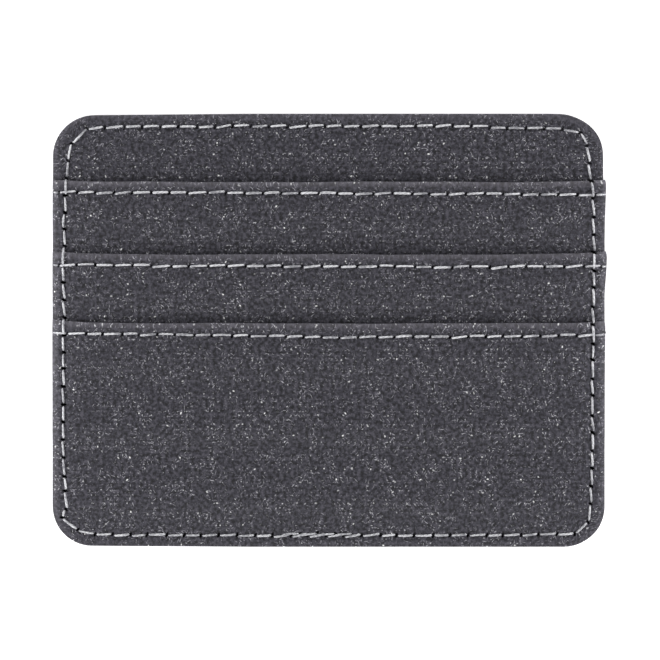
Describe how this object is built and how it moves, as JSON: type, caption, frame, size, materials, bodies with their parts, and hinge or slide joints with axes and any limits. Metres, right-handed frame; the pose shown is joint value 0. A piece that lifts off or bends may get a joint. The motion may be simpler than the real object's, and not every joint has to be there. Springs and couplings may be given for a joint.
{
  "type": "card holder",
  "caption": "Flat card holder in flecked recycled leather: stepped card pockets with turned, stitched mouths on a closed back with rounded corners.",
  "frame": {"origin": "on the rear face, at the middle of the outline", "axes": "+X to the right as the pockets are read, +Y towards the top edge, where the pocket mouths open, +Z out of the front"},
  "size_m": [0.1004, 0.0786, 0.005],
  "materials": {
    "leather": "matt charcoal bonded leather with pale fibre flecks",
    "needle_thread": "twisted light grey polyester sewing thread",
    "bobbin_thread": "twisted grey polyester sewing thread"
  },
  "bodies": {
    "root": {"rear_panel": "leather", "body_panel": "leather", "upper_pocket": "leather", "middle_pocket": "leather", "lower_pocket": "leather", "upper_hem_thread": "needle_thread", "middle_hem_thread": "needle_thread", "lower_hem_thread": "needle_thread", "upper_hem_bobbin": "bobbin_thread", "middle_hem_bobbin": "bobbin_thread", "lower_hem_bobbin": "bobbin_thread", "upper_base_thread": "needle_thread", "middle_base_thread": "needle_thread", "upper_base_bobbin": "bobbin_thread", "middle_base_bobbin": "bobbin_thread", "border_thread": "needle_thread", "border_bobbin": "bobbin_thread"}
  },
  "joints": []
}
